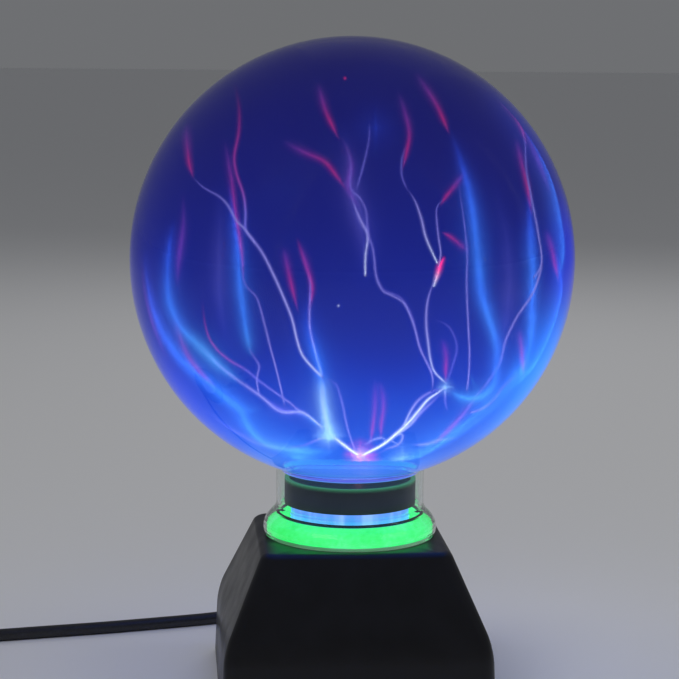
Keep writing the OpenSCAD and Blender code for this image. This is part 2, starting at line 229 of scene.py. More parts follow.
sheath = rubberSheath("cordSheath")
stepAngle = 360 / cord["pointsPerTurn"]
coil = [coilPoint(k * stepAngle) for k in range(int(cord["lastTurn"] / stepAngle) + 1)]
lead = [Vector(cord["inBoot"])] + [Vector(p) for p in cordRoute]
cordLine = smoothPath(lead + coil + [Vector(p) for p in tailRoute], cord["cuts"])
cordCurve = bpy.data.curves.new("powerCord", "CURVE")
cordCurve.dimensions = "3D"
cordCurve.bevel_depth = cord["radius"] * mm
cordCurve.bevel_resolution = cord["roundness"]
cordCurve.use_fill_caps = True
spline = cordCurve.splines.new("POLY")
spline.points.add(len(cordLine) - 1)
for point, place in zip(spline.points, cordLine):
    point.co = (*(place * mm), 1)
cordCurve.materials.append(sheath)
powerCord = bpy.data.objects.new("powerCord", cordCurve)
bpy.context.collection.objects.link(powerCord)
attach(powerCord, lampBody)
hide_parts("power_cord", "cord_coil", "cord_tail")

# the strap that holds the coiled cord together
tie = dict(angle=160, across=21.0, high=12.6, wide=8.0, thick=0.8, corner=4.0)


def cordTie():
    bm = bmesh.new()
    middle = cord["innerTurn"] + cord["turnStep"]
    place = (Matrix.Translation(Vector((*cord["coilCentre"], tie["high"] / 2 + tie["thick"] / 2)) * mm)
             @ Matrix.Rotation(math.radians(tie["angle"]), 4, "Z")
             @ Matrix.Translation((middle * mm, -tie["wide"] / 2 * mm, 0))
             @ Matrix.Rotation(math.radians(90), 4, "X")
             @ Matrix.Diagonal((tie["across"] / 2 * mm, tie["high"] / 2 * mm, 1, 1)))
    bmesh.ops.create_grid(bm, x_segments=1, y_segments=1, size=1, matrix=place)
    bmesh.ops.bevel(bm, geom=bm.verts[:], offset=tie["corner"] * mm, segments=5, profile=0.5,
                    affect="VERTICES", material=-1)
    bmesh.ops.delete(bm, geom=bm.faces[:], context="FACES_ONLY")
    strip = bmesh.ops.extrude_edge_only(bm, edges=bm.edges[:])["geom"]
    along = Matrix.Rotation(math.radians(tie["angle"]), 3, "Z") @ Vector((0, tie["wide"] * mm, 0))
    bmesh.ops.translate(bm, vec=along, verts=[g for g in strip if isinstance(g, bmesh.types.BMVert)])
    bmesh.ops.recalc_face_normals(bm, faces=bm.faces)
    made = keep(bm, "cordTie")
    thickness = made.modifiers.new("thickness", "SOLIDIFY")
    thickness.thickness = tie["thick"] * mm
    thickness.offset = 0
    made.data.materials.append(moulded("tieFabric", (0.05, 0.05, 0.055), 0.85, 2500, 0.0001, change=0.3))


cordTie()
print("cord laid:", round(sum((b - a).length for a, b in zip(cordLine, cordLine[1:]))), "mm")


# the base: a moulded shell with a short skirt, four sloping sides and a round opening for the neck
base = dict(
    levels=[(60.5, 1.5), (59.3, 33.0), (41.8, 72.0)],  # half width and height of foot, shoulder and top
    corner=6.0, shoulder=7.0, top=2.5,  # how far each kind of edge is rounded
    levelSlack=0.8, longEdge=20, lidCuts=15, backFace=58.5,
    wall=2.5, opening=29.5, switch=(27.0, 17.0), switchHole=(19.8, 14.8)
)


# edges that run from one height to another, or round the base when both are the same
def edgesBetween(bm, low, high):
    slack = base["levelSlack"] * mm
    found = []
    for edge in bm.edges:
        heights = sorted(v.co.z for v in edge.verts)
        if abs(heights[0] - low * mm) < slack and abs(heights[1] - high * mm) < slack:
            found.append(edge)
    return found


def baseHousing():
    bm = bmesh.new()
    bottom, shoulder, top = base["levels"]
    bmesh.ops.create_grid(bm, x_segments=1, y_segments=1, size=top[0] * mm,
                          matrix=Matrix.Translation((0, 0, top[1] * mm)))
    edges = bm.edges[:]
    for wider, lower in [(shoulder, top), (bottom, shoulder)]:
        made = bmesh.ops.extrude_edge_only(bm, edges=edges)["geom"]
        verts = [g for g in made if isinstance(g, bmesh.types.BMVert)]
        edges = [g for g in made if isinstance(g, bmesh.types.BMEdge)]
        scale = wider[0] / lower[0]
        bmesh.ops.scale(bm, vec=(scale, scale, 1), verts=verts)
        bmesh.ops.translate(bm, vec=(0, 0, (wider[1] - lower[1]) * mm), verts=verts)
    bevel = dict(affect="EDGES", profile=0.5, material=-1)
    corners = edgesBetween(bm, bottom[1], shoulder[1]) + edgesBetween(bm, shoulder[1], top[1])
    bmesh.ops.bevel(bm, geom=corners, offset=base["corner"] * mm, segments=6, **bevel)
    shoulders = edgesBetween(bm, shoulder[1], shoulder[1])
    bmesh.ops.bevel(bm, geom=shoulders, offset=base["shoulder"] * mm, segments=5, **bevel)
    bmesh.ops.bevel(bm, geom=edgesBetween(bm, top[1], top[1]), offset=base["top"] * mm, segments=4, **bevel)
    upper = [f for f in bm.faces if f.calc_center_median().z > (top[1] - base["top"]) * mm]
    lid = max(upper, key=lambda face: face.calc_area())
    straight = [e for e in lid.edges if e.calc_length() > base["longEdge"] * mm]
    bmesh.ops.subdivide_edges(bm, edges=straight, cuts=base["lidCuts"])
    rim = lid.edges[:]
    bmesh.ops.delete(bm, geom=[lid], context="FACES_ONLY")
    inner = bmesh.ops.extrude_edge_only(bm, edges=rim)["geom"]
    for vert in inner:
        if isinstance(vert, bmesh.types.BMVert):
            vert.co.xy = vert.co.xy.normalized() * base["opening"] * mm
    x, z = base["switch"]
    width, height = base["switchHole"]
    for place, along in [((x - width / 2, 0, 0), (1, 0, 0)), ((x + width / 2, 0, 0), (1, 0, 0)),
                         ((0, 0, z - height / 2), (0, 0, 1)), ((0, 0, z + height / 2), (0, 0, 1))]:
        back = [f for f in bm.faces if f.calc_center_median().y > base["backFace"] * mm]
        around = list({g for f in back for g in (*f.verts, *f.edges)})
        bmesh.ops.bisect_plane(bm, geom=back + around, plane_co=Vector(place) * mm, plane_no=along)
    window = []
    for face in bm.faces:
        middle = face.calc_center_median() / mm
        if middle.y > base["backFace"] and abs(middle.x - x) < width / 2 and abs(middle.z - z) < height / 2:
            window.append(face)
    bmesh.ops.delete(bm, geom=window, context="FACES")
    bmesh.ops.recalc_face_normals(bm, faces=bm.faces)
    made = keep(bm, "baseHousing")
    wall = made.modifiers.new("wall", "SOLIDIFY")
    wall.thickness = base["wall"] * mm
    wall.offset = -1
    wall.use_even_offset = True
    made.modifiers.new("even shading", "WEIGHTED_NORMAL").keep_sharp = True
    made.data.materials.append(moulded("baseBlack", (0.008, 0.008, 0.01), 0.36, 1800, 0.00002, shine=0.3))
    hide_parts("base_housing")


baseHousing()
print("base made")


# the glass globe: a blown shell with a hole in the bottom for its flat floor
globe = dict(radius=100.0, glass=2.0, height=198.0, hole=31.8, around=128, rings=96,
             tint=(0.93, 0.96, 1.0), ior=1.22)
centreOfGlobe = Vector((0, 0, globe["height"]))
globeCentre = centreOfGlobe * mm


def clearGlass(name, tint, ior):
    made, tree, shader = newMaterial(name, color=tint, clear=1.0, ior=ior, roughness=0.0)
    ripple = add(tree, "ShaderNodeTexNoise", {"Vector": objectPoint(tree), "Scale": 14.0,
                                              "Detail": 1.0}).outputs[0]
    bump(tree, shader, ripple, 0.12, 0.0006)
    return made


def glassGlobe():
    bm = bmesh.new()
    bmesh.ops.create_uvsphere(bm, u_segments=globe["around"], v_segments=globe["rings"],
                              radius=globe["radius"] * mm, matrix=Matrix.Translation(globeCentre))
    cut = globe["height"] - math.sqrt(globe["radius"] ** 2 - globe["hole"] ** 2)
    bmesh.ops.bisect_plane(bm, geom=bm.verts[:] + bm.edges[:] + bm.faces[:], plane_co=(0, 0, cut * mm),
                           plane_no=(0, 0, -1), clear_outer=True)
    made = keep(bm, "glassGlobe")
    wall = made.modifiers.new("wall", "SOLIDIFY")
    wall.thickness = globe["glass"] * mm
    wall.offset = -1
    made.data.materials.append(clearGlass("globeGlass", globe["tint"], globe["ior"]))
    made.visible_shadow = False
    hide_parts("glass_globe")


glassGlobe()
print("globe blown")


# the glow of the gas: a thin skin just inside the glass, brightest near the neck and low at both sides; its
# black, nearly opaque face is painted darkness that hides the floor and studio behind the globe
gas = dict(radius=99.1, floor=104.8, paintedDarkCover=0.86, strength=1.1, uneven=0.06, around=96, rings=72)
gasColors = [(0.0, (0.07, 0.25, 1.0)), (0.06, (0.02, 0.14, 0.9)), (0.2, (0.01, 0.042, 0.55)),
             (0.42, (0.006, 0.013, 0.22)), (0.7, (0.008, 0.009, 0.135)), (1.0, (0.006, 0.006, 0.09))]
gasBlooms = [((72, -20, 148), 55, (0.0, 0.25, 0.78)), ((-66, -25, 142), 50, (0.0, 0.015, 0.3)),
             ((92, -28, 202), 45, (0.0, 0.015, 0.42)), ((84, -42, 164), 42, (0.0, 0.1, 0.42)),
             ((-93, 5, 190), 48, (0.02, 0.018, 0.28)), ((72, -20, 250), 45, (0.0, 0.008, 0.14)),
             ((5, -10, 105), 14, (0.6, 0.1, 0.2)), ((8, -25, 105), 9, (0.45, 0.25, 0.0)),
             ((2, -24, 105), 20, (0.14, 0.03, 0.0))]


# the colour with soft round patches of more light, each given as centre, reach and tint
def blooming(tree, color, blooms):
    for centre, reach, tint in blooms:
        spot = turnToView @ (Vector(centre) * mm)
        away = add(tree, "ShaderNodeVectorMath", {0: objectPoint(tree), 1: spot},
                   operation="DISTANCE").outputs["Value"]
        near = add(tree, "ShaderNodeMapRange", {"Value": away, "From Min": 0.0, "From Max": reach * mm,
                                                "To Min": 1.0, "To Max": 0.0},
                   interpolation_type="SMOOTHERSTEP").outputs[0]
        mix = add(tree, "ShaderNodeMix", {"Factor": near}, data_type="RGBA", blend_type="ADD")
        tree.links.new(color, mix.inputs[6])
        mix.inputs[7].default_value = (*tint, 1)
        color = mix.outputs[2]
    return color


def glowingGas(name):
    # black and nearly opaque: painted darkness in front of the studio; only the emission is the gas's glow
    made, tree, shader = newMaterial(name, color=(0, 0, 0), roughness=1.0, shine=0.0,
                                     strength=gas["strength"], alpha=gas["paintedDarkCover"])
    billow = add(tree, "ShaderNodeTexNoise", {"Vector": objectPoint(tree), "Scale": 11.0, "Detail": 2.0,
                                              "Roughness": 0.4, "Distortion": 0.6}).outputs[0]
    rise = heightIn(tree, gas["floor"], globe["height"] + globe["radius"])
    uneven = add(tree, "ShaderNodeMapRange", {"Value": billow, "From Min": 0.3, "From Max": 0.7,
                                              "To Min": -gas["uneven"], "To Max": gas["uneven"]}).outputs[0]
    color = ramp(tree, sums(tree, "ADD", rise, uneven, clamp=True), gasColors, "B_SPLINE")
    tree.links.new(blooming(tree, color, gasBlooms), shader.inputs["Emission Color"])
    made.cycles.emission_sampling = "NONE"
    return made


def gasSkin():
    bm = bmesh.new()
    bmesh.ops.create_uvsphere(bm, u_segments=gas["around"], v_segments=gas["rings"],
                              radius=gas["radius"] * mm, matrix=Matrix.Translation(globeCentre))
    cut = bmesh.ops.bisect_plane(bm, geom=bm.verts[:] + bm.edges[:] + bm.faces[:],
                                 plane_co=(0, 0, gas["floor"] * mm), plane_no=(0, 0, -1), clear_outer=True)
    rim = [e for e in cut["geom_cut"] if isinstance(e, bmesh.types.BMEdge)]
    bmesh.ops.contextual_create(bm, geom=rim)
    made = keep(bm, "gasGlow")
    made.data.materials.append(glowingGas("gasGlow"))
    made.visible_shadow = False


gasSkin()
print("gas glow made")


# the streamers: threads, soft ribbons and pink flames that run from the electrode to the glass
streamer = dict(
    electrode=(4.6, 107.0), spread=100.0,  # where they start, and how soon they reach the glass
    inside=95.0, glass=97.0,  # how far from the globe's centre a path may go, and how far its light
    steps=4, blades=3, sides=6, spotSides=24, veil=2.6, edge=2.2, taper=0.65,
    softPower=7.5, corePower=14.0
)
palette = dict(white=(0.68, 0.76, 1.0), ice=(0.42, 0.8, 1.0), lilac=(0.5, 0.45, 1.0), violet=(0.3, 0.26, 1.0),
               blue=(0.03, 0.1, 1.0), sky=(0.05, 0.26, 1.0), cyan=(0.1, 0.5, 1.0), pink=(1.0, 0.03, 0.15),
               rose=(0.7, 0.08, 0.42), purple=(0.4, 0.08, 0.65))


# light with soft edges: across the blade it fades to nothing, and its colour and strength are painted on
def glowMaterial(name):
    made, tree, shader = newMaterial(name, color=(0, 0, 0), roughness=1.0, shine=0.0,
                                     strength=streamer["softPower"])
    across = add(tree, "ShaderNodeAttribute", attribute_name="across").outputs["Fac"]
    edge = sums(tree, "SUBTRACT", 1.0, sums(tree, "ABSOLUTE", across), clamp=True)
    soft = sums(tree, "POWER", edge, streamer["edge"])
    tint = add(tree, "ShaderNodeAttribute", attribute_name="tint")
    shine = add(tree, "ShaderNodeAttribute", attribute_name="shine").outputs["Fac"]
    tree.links.new(tint.outputs["Color"], shader.inputs["Emission Color"])
    tree.links.new(sums(tree, "MULTIPLY", soft, shine, clamp=True), shader.inputs["Alpha"])
    made.cycles.emission_sampling = "NONE"
    return made


def coreMaterial(name):
    made, tree, shader = newMaterial(name, color=(0, 0, 0), roughness=1.0, shine=0.0,
                                     strength=streamer["corePower"])
    tint = add(tree, "ShaderNodeAttribute", attribute_name="tint")
    tree.links.new(tint.outputs["Color"], shader.inputs["Emission Color"])
    made.cycles.emission_sampling = "NONE"
    return made


softGlow = glowMaterial("softGlow")
brightCore = coreMaterial("brightCore")


# a point of the gas from its place as seen from the front; side -1 is the front glass and 1 the back
def inSpace(seen, side):
    right, up = seen
    depth = math.sqrt(max(streamer["inside"] ** 2 - right ** 2 - (up - globe["height"]) ** 2, 0))
    y = side * depth * min(math.dist(seen, streamer["electrode"]) / streamer["spread"], 1)
    further = y / camera["away"]
    return turnToView @ Vector((right + (right - camera["right"]) * further, y,
                                up - (camera["height"] - up) * further))


# the value at t along a streamer, from (place, value) pairs
def at(pairs, t):
    for (a, first), (b, second) in zip(pairs, pairs[1:]):
        if t <= b:
            k = min(max((t - a) / max(b - a, 0.0001), 0), 1)
            return first + (second - first) * (3 - 2 * k) * k * k
    return pairs[-1][1]


# a mesh that carries, at each point, how far across its light it lies, its colour and its strength
def newLight():
    bm = bmesh.new()
    layers = bm.verts.layers
    return bm, layers.float.new("across"), layers.float_color.new("tint"), layers.float.new("shine")


# adds a small mesh to the whole one
def join(bm, whole):
    mesh = bpy.data.meshes.new("part")
    bm.to_mesh(mesh)
    bm.free()
    whole.from_mesh(mesh)
    bpy.data.meshes.remove(mesh)


# the place itself, or the nearest one that the glass still covers
def insideGlass(place):
    out = place - centreOfGlobe
    return centreOfGlobe + out * min(1, streamer["glass"] / out.length)


# for each point of a path: how far along it is from 0 to 1, its place, its direction and a direction aside
def framesAlong(path):
    last = len(path) - 1
    for i, place in enumerate(path):
        along = (path[min(i + 1, last)] - path[max(i - 1, 0)]).normalized()
        aside = along.cross(Vector((0.15, 1, 0.1))).normalized()
        yield i / last, place, along, aside


# flat blades crossed along the path, whose light fades towards their edges
def blades(path, width, widths, colors, levels):
    bm, across, tint, shine = newLight()
    for k in range(streamer["blades"]):
        row = []
        for s in (-1, 0, 1):
            row.append(bm.verts.new())
            row[-1][across] = s
        edges = [bm.edges.new(pair) for pair in zip(row, row[1:])]
        for t, place, along, aside in framesAlong(path):
            if t:
                made = bmesh.ops.extrude_edge_only(bm, edges=edges)["geom"]
                row = [g for g in made if isinstance(g, bmesh.types.BMVert)]
                edges = [g for g in made if isinstance(g, bmesh.types.BMEdge)]
            turn = Matrix.Rotation(k * math.pi / streamer["blades"], 3, along)
            half = turn @ aside * width / 2 * at(widths, t)
            for vert in row:
                vert.co = insideGlass(place + half * vert[across]) * mm
                vert[tint] = (*at(colors, t), 1)
                vert[shine] = at(levels, t)
    join(bm, glowMesh)


# the fine bright core of a streamer: a tube that tapers to its end
def thread(path, radius, colors, levels):
    bm, around, tint, shine = newLight()
    row = bmesh.ops.create_circle(bm, segments=streamer["sides"], radius=1, cap_ends=True)["verts"]
    for k, vert in enumerate(row):
        vert[around] = math.atan2(vert.co.y, vert.co.x)
    edges = bm.edges[:]
    for t, place, along, aside in framesAlong(path):
        if t:
            made = bmesh.ops.extrude_edge_only(bm, edges=edges)["geom"]
            row = [g for g in made if isinstance(g, bmesh.types.BMVert)]
            edges = [g for g in made if isinstance(g, bmesh.types.BMEdge)]
        for vert in row:
            out = Matrix.Rotation(vert[around], 3, along) @ aside
            vert.co = (place + out * radius * (1 - streamer["taper"] * t)) * mm
            vert[tint] = (*(at(colors, t) * at(levels, t)), 1)
    bmesh.ops.edgeloop_fill(bm, edges=edges)
    bmesh.ops.recalc_face_normals(bm, faces=bm.faces)
    join(bm, coreMesh)


glowMesh, coreMesh = newLight()[0], newLight()[0]
# how wide a streamer is by place along it
evenShape = ((0, 0.7), (0.5, 1), (1, 0.6))
flameShape = ((0, 0.25), (0.4, 0.8), (1, 1.3))


def makeStreamer(seen, side, width, colors, levels, widths=evenShape, core=0.0, veil=0.0):
    path = smoothPath([inSpace(point, side) for point in seen], streamer["steps"])
    colors = [(place, Vector(palette[name])) for place, name in colors]
    blades(path, width, widths, colors, levels)
    if veil:
        faint = [(place, level * veil) for place, level in levels]
        blades(path, width * streamer["veil"], widths, colors, faint)
    if core:
        thread(path, core, colors, levels)


# a soft ball of light, made of three crossed discs that fade outwards
def glowSpot(seen, side, reach, name, level):
    bm, across, tint, shine = newLight()
    for axis in ("X", "Y", "Z"):
        turn = Matrix.Rotation(math.radians(0 if axis == "Z" else 90), 4, axis)
        bmesh.ops.create_circle(bm, cap_ends=True, cap_tris=True, segments=streamer["spotSides"],
                                radius=reach, matrix=turn)
    for vert in bm.verts:
        vert[across] = min(vert.co.length / reach, 1)
        vert[tint] = (*palette[name], 1)
        vert[shine] = level
        vert.co = insideGlass(vert.co + inSpace(seen, side)) * mm
    join(bm, glowMesh)


# how each kind of streamer looks: colours and brightness by place along it
kinds = dict(
    trunk=dict(width=4.2, core=0.5, colors=[(0, "white"), (1, "white")],
               levels=[(0, 0.8), (0.8, 0.55), (1, 0.25)]),
    strand=dict(width=4, core=0.27, colors=[(0, "white"), (0.6, "lilac"), (1, "violet")],
                levels=[(0, 0.0), (0.04, 0.3), (0.7, 0.18), (1, 0.0)]),
    thread=dict(width=3.2, core=0.28, colors=[(0, "lilac"), (1, "violet")],
                levels=[(0, 0.0), (0.05, 0.2), (0.8, 0.13), (1, 0.0)]),
    faint=dict(width=4, colors=[(0, "violet"), (1, "violet")],
               levels=[(0, 0.0), (0.2, 0.1), (0.7, 0.07), (1, 0.0)]),
    curl=dict(width=4, colors=[(0, "lilac"), (1, "white")], levels=[(0, 0.0), (0.3, 0.2), (1, 0.1)]),
    tipped=dict(width=3.8, core=0.26,
                colors=[(0, "white"), (0.35, "lilac"), (0.6, "violet"), (0.75, "rose"), (1, "pink")],
                levels=[(0, 0.0), (0.03, 0.32), (0.55, 0.2), (0.8, 0.11), (1, 0.0)],
                widths=((0, 0.8), (0.7, 1), (1, 1.4))),
    ember=dict(width=3.6, core=0.25, colors=[(0, "lilac"), (0.4, "violet"), (0.6, "rose"), (1, "pink")],
               levels=[(0, 0.0), (0.05, 0.2), (0.7, 0.15), (1, 0.0)]),
    ribbon=dict(width=15, veil=0.3, colors=[(0, "cyan"), (0.35, "sky"), (1, "blue")],
                levels=[(0, 0.0), (0.28, 0.25), (0.65, 0.26), (1, 0.0)]),
    arc=dict(width=14, veil=0.4, colors=[(0, "cyan"), (0.2, "cyan"), (0.45, "sky"), (1, "blue")],
             levels=[(0, 0.0), (0.15, 0.26), (0.5, 0.24), (0.8, 0.14), (1, 0.0)]),
    column=dict(width=16, veil=0.3, colors=[(0, "ice"), (0.3, "ice"), (0.5, "sky"), (1, "blue")],
                levels=[(0, 0.6), (0.06, 0.8), (0.3, 0.34), (0.6, 0.28), (1, 0.0)],
                widths=((0, 0.5), (0.4, 0.8), (1, 1.3))),
    band=dict(width=8, veil=0.3, colors=[(0, "cyan"), (0.6, "violet"), (1, "violet")],
              levels=[(0, 0.0), (0.2, 0.16), (0.7, 0.12), (1, 0.0)]),
    flame=dict(width=8.5, colors=[(0, "rose"), (0.35, "pink"), (1, "purple")],
               levels=[(0, 0.0), (0.3, 0.11), (0.7, 0.075), (1, 0.0)], widths=flameShape),
    haze=dict(width=30, colors=[(0, "blue"), (0.5, "violet"), (1, "blue")],
              levels=[(0, 0.0), (0.4, 0.032), (1, 0.0)]),
    mist=dict(width=10, colors=[(0, "purple"), (1, "purple")],
              levels=[(0, 0.0), (0.4, 0.09), (1, 0.0)]),
    spark=dict(width=6, core=0.5, colors=[(0, "pink"), (0.4, "pink"), (1, "white")],
               levels=[(0, 0.0), (0.4, 0.8), (1, 0.3)]),
)

# each one is its kind, its side and its points as (right, height) seen from the front, and it bends
# towards the front or the back of the globe so that its end nears the glass
start = streamer["electrode"]
streamers = [
    # the left trunk and its column
    ("trunk", -0.6, [start, (-1, 111), (-6, 115), (-10, 118)]),
    ("column", -0.6, [(-9, 115), (-11, 124), (-12.5, 133), (-13.5, 142), (-15, 151), (-18, 160),
                      (-20, 170), (-20, 184)]),
    ("strand", -0.6, [(-10, 118), (-12.5, 130), (-13, 138), (-13, 144)]),
    ("tipped", -0.8, [(-12.7, 144), (-17, 148), (-22, 154), (-24.6, 161), (-27, 171), (-31, 181),
                      (-35, 190), (-40, 200), (-45, 207), (-48, 211), (-48, 219), (-49, 227), (-52, 236),
                      (-53, 244), (-51, 255), (-51, 266), (-53, 277)]),
    ("thread", -0.8, [(-43, 204), (-48, 211), (-52, 215), (-56, 222), (-60, 226), (-67, 230),
                      (-72, 235)]),
    ("flame", -0.8, [(-71, 233), (-73, 240), (-74, 248), (-75, 260)]),
    ("tipped", 0.6, [(-13, 144), (-16.5, 156), (-19, 167), (-19, 178), (-19, 188), (-22, 198),
                     (-25, 208)]),
    ("flame", 0.6, [(-20, 172), (-18, 184), (-20, 194), (-24, 206)]),
    ("flame", -0.7, [(-24, 173), (-27, 185), (-29, 194), (-31, 204)]),
    # the far left, that hugs the glass
    ("strand", -0.5, [(-12, 120), (-18, 125), (-23, 128), (-32, 128), (-41, 135), (-48, 140), (-55, 145),
                      (-62, 151), (-68, 157), (-74, 162)]),
    ("band", -0.5, [(-14, 121), (-22, 127), (-32, 129), (-40, 134)]),
    ("arc", -0.5, [(-48, 140), (-60, 149), (-68, 157), (-76, 165), (-81, 174), (-83, 183), (-83, 194),
                   (-82, 205), (-80, 216)]),
    ("mist", -0.5, [(-79, 184), (-78, 198), (-76, 213), (-76, 228)]),
    ("thread", 0.5, [(-30, 130), (-34, 147), (-37, 158), (-40, 170), (-43, 180), (-48, 186), (-51, 196)]),
    ("ember", 0.6, [(-22, 127), (-28, 132), (-35, 137), (-42, 142), (-48, 147), (-55, 151), (-61, 156),
                    (-65, 162), (-67, 170), (-68, 180)]),
    ("thread", 0.7, [(-42, 135), (-43, 143), (-42, 149), (-45, 154), (-47, 158)]),
    ("ribbon", 0.7, [(-45, 152), (-47, 160), (-49, 172), (-51, 188), (-52, 203), (-54, 218), (-56, 234)]),
    ("flame", 0.7, [(-49, 184), (-50, 200), (-53, 220), (-55, 236), (-58, 252)]),
    ("arc", 0.3, [(-8, 108), (-22, 109), (-38, 112), (-46, 119), (-51, 129), (-59, 136), (-69, 144),
                  (-79, 152), (-87, 163), (-91, 176), (-93, 190)]),
    ("ribbon", 0.3, [(-40, 128), (-52, 130), (-62, 138), (-74, 148), (-84, 160), (-90, 172), (-93, 186),
                     (-94, 204)]),
    ("band", -0.2, [(-5, 109), (-21, 110), (-35, 111), (-44, 113), (-52, 117), (-60, 122), (-68, 129)]),
    ("thread", -0.2, [(-8, 117), (-15, 115), (-22, 112), (-30, 111)]),
    ("flame", -0.3, [(-60, 138), (-67, 144), (-74, 153), (-78, 163), (-81, 174)]),
    ("mist", 0.2, [(-84, 150), (-90, 165), (-94, 180), (-96, 200)]),
    # the middle
    ("thread", 0.3, [(3, 108), (0, 116), (-2, 123), (-3.4, 130), (-5, 136), (-7, 141), (-12.5, 144)]),
    ("flame", -0.4, [(9, 112), (10, 120), (11, 130), (11, 144)]),
    ("flame", 0.4, [(14, 114), (14, 122), (15, 132), (13, 143)]),
    ("curl", -0.2, [(6, 112), (10, 115), (15, 116), (16, 113)]),
    # the right trunk
    ("trunk", -0.5, [start, (8, 109), (15, 113), (22, 119), (27, 124), (31, 129), (35, 134), (39, 137),
                     (43, 140)]),
    ("strand", -0.5, [(20, 117), (27, 122), (32, 128), (37, 133), (43, 139)]),
    ("strand", -0.5, [(24, 121), (27, 128), (31, 134), (37, 138), (43, 140)]),
    ("curl", -0.8, [(4, 107), (6, 106.2), (9, 105.6)]),
    ("curl", -0.3, [(12, 108), (17, 111), (22, 113), (24, 117), (21, 118), (19, 115), (22, 113)]),
    ("thread", -0.8, [(37, 138), (37, 145), (34, 152), (31, 158), (29, 166), (26, 174), (23, 179),
                      (18, 182), (14, 184), (11, 190), (10, 198), (9, 204), (7, 210), (6, 220), (3, 226),
                      (-1, 230), (-1, 240), (-3, 249), (-7, 255)]),
    ("faint", -0.8, [(40, 143), (34, 152), (30, 162), (27, 173), (22, 181), (14, 185), (10, 196)]),
    ("haze", -0.8, [(12, 190), (7, 210), (-1, 232), (-3, 250), (-8, 262)]),
    ("haze", 0.5, [(6, 180), (5, 205), (0, 228), (4, 245)]),
    ("haze", 0.4, [(-55, 150), (-60, 180), (-60, 210), (-60, 240)]),
    ("haze", 0.3, [(60, 140), (70, 170), (70, 205), (62, 240)]),
    ("flame", -0.8, [(-6, 251), (-10, 259), (-13, 266), (-16, 277)]),
    ("flame", -0.8, [(-2, 228), (-7, 235), (-13, 242), (-22, 246), (-32, 251)]),
    ("mist", -0.8, [(4, 220), (-2, 230), (-1, 242), (-6, 254)]),
    ("strand", 0.5, [(6, 190), (6, 200), (7, 209), (4, 215), (1, 222), (-2, 230)]),
    ("faint", 0.5, [(1, 228), (4, 238), (7, 252), (7, 260)]),
    ("strand", 0.6, [(43, 142), (38, 147), (36, 153), (35, 160), (34, 168), (34, 176), (35, 182),
                     (37, 188), (39, 194)]),
    ("spark", 0.6, [(42, 200), (40, 196), (38.5, 191), (37, 186)]),
    ("thread", 0.6, [(39, 194), (40, 201), (39, 208), (38, 216), (38, 222), (41, 226)]),
    ("flame", 0.6, [(39, 222), (42, 227), (46, 232), (51, 239)]),
    ("flame", 0.6, [(40, 211), (44, 209), (49, 205), (53, 202)]),
    ("strand", 0.8, [(39, 196), (36, 202), (33, 209), (31, 217), (28, 225), (24, 231)]),
    ("faint", 0.8, [(25, 229), (22, 236), (22, 244), (24, 250)]),
    ("flame", 0.8, [(22, 238), (24, 247), (25, 257), (20, 274)]),
    ("flame", -0.6, [(43, 141), (43, 148), (43, 155), (41, 163)]),
    ("faint", 0.4, [(43, 140), (46, 149), (48, 159), (44, 168), (37, 171)]),
    ("thread", -0.2, [(43, 140), (43, 134), (44, 129)]),
    ("thread", 0.7, [(53, 137), (54, 152), (53, 170), (52, 187), (52, 202), (50, 218), (47, 236)]),
    # the right-hand ribbons
    ("arc", -0.6, [(44, 139), (52, 135), (60, 136), (65, 142), (66, 150), (66, 160), (62, 173), (58, 186),
                   (56, 199)]),
    ("ribbon", -0.6, [(66, 152), (64, 166), (59, 181), (57, 195), (55, 212), (52, 229), (48, 243),
                      (43, 257)]),
    ("flame", -0.6, [(43, 254), (40, 261), (36, 269), (27, 282)]),
    ("arc", 0.5, [(24, 105), (33, 107), (42, 114), (52, 122), (62, 131), (72, 140), (80, 152), (82, 166),
                  (82, 182), (82, 196)]),
    ("ribbon", 0.5, [(80, 152), (82, 166), (82, 180), (82, 194), (81, 206), (80, 218), (79, 232)]),
    ("flame", 0.5, [(81, 218), (79, 230), (76, 242), (73, 254)]),
    ("thread", 0.5, [(82, 190), (86, 197), (84, 211), (81, 225), (78, 240), (77, 253), (73, 262)]),
    ("flame", 0.5, [(78, 250), (76, 257), (72, 265), (66, 273)]),
    ("ribbon", -0.2, [(70, 138), (82, 147), (91, 158), (95, 170), (96, 182), (94, 194), (92, 204)]),
    ("flame", -0.2, [(94, 188), (92, 196), (90, 204), (87, 213)]),
    ("ribbon", 0.2, [(93, 188), (96, 202), (94, 218), (90, 234), (84, 248), (75, 262)]),
    ("mist", 0.2, [(90, 226), (85, 240), (79, 253), (70, 268)]),
    ("thread", -0.5, [(86, 197), (82, 184), (75, 173), (70, 162), (68, 153), (64, 145), (58, 137),
                      (52, 128), (44, 118), (37, 111)]),
    ("flame", -0.5, [(37, 112), (44, 119), (51, 127), (57, 136)]),
    ("thread", -0.5, [(54, 128), (60, 130), (65, 134), (70, 141), (77, 147)]),
    ("flame", -0.5, [(79, 144), (78, 152), (77, 160), (76, 168)]),
    ("ribbon", -0.3, [(12, 106), (24, 106), (36, 110), (48, 117), (60, 126), (70, 136), (78, 147),
                      (84, 158)]),
    ("curl", -0.3, [(28, 113), (34, 113), (41, 115), (48, 116)]),
]
for kind, side, seen in streamers:
    makeStreamer(seen, side, **kinds[kind])
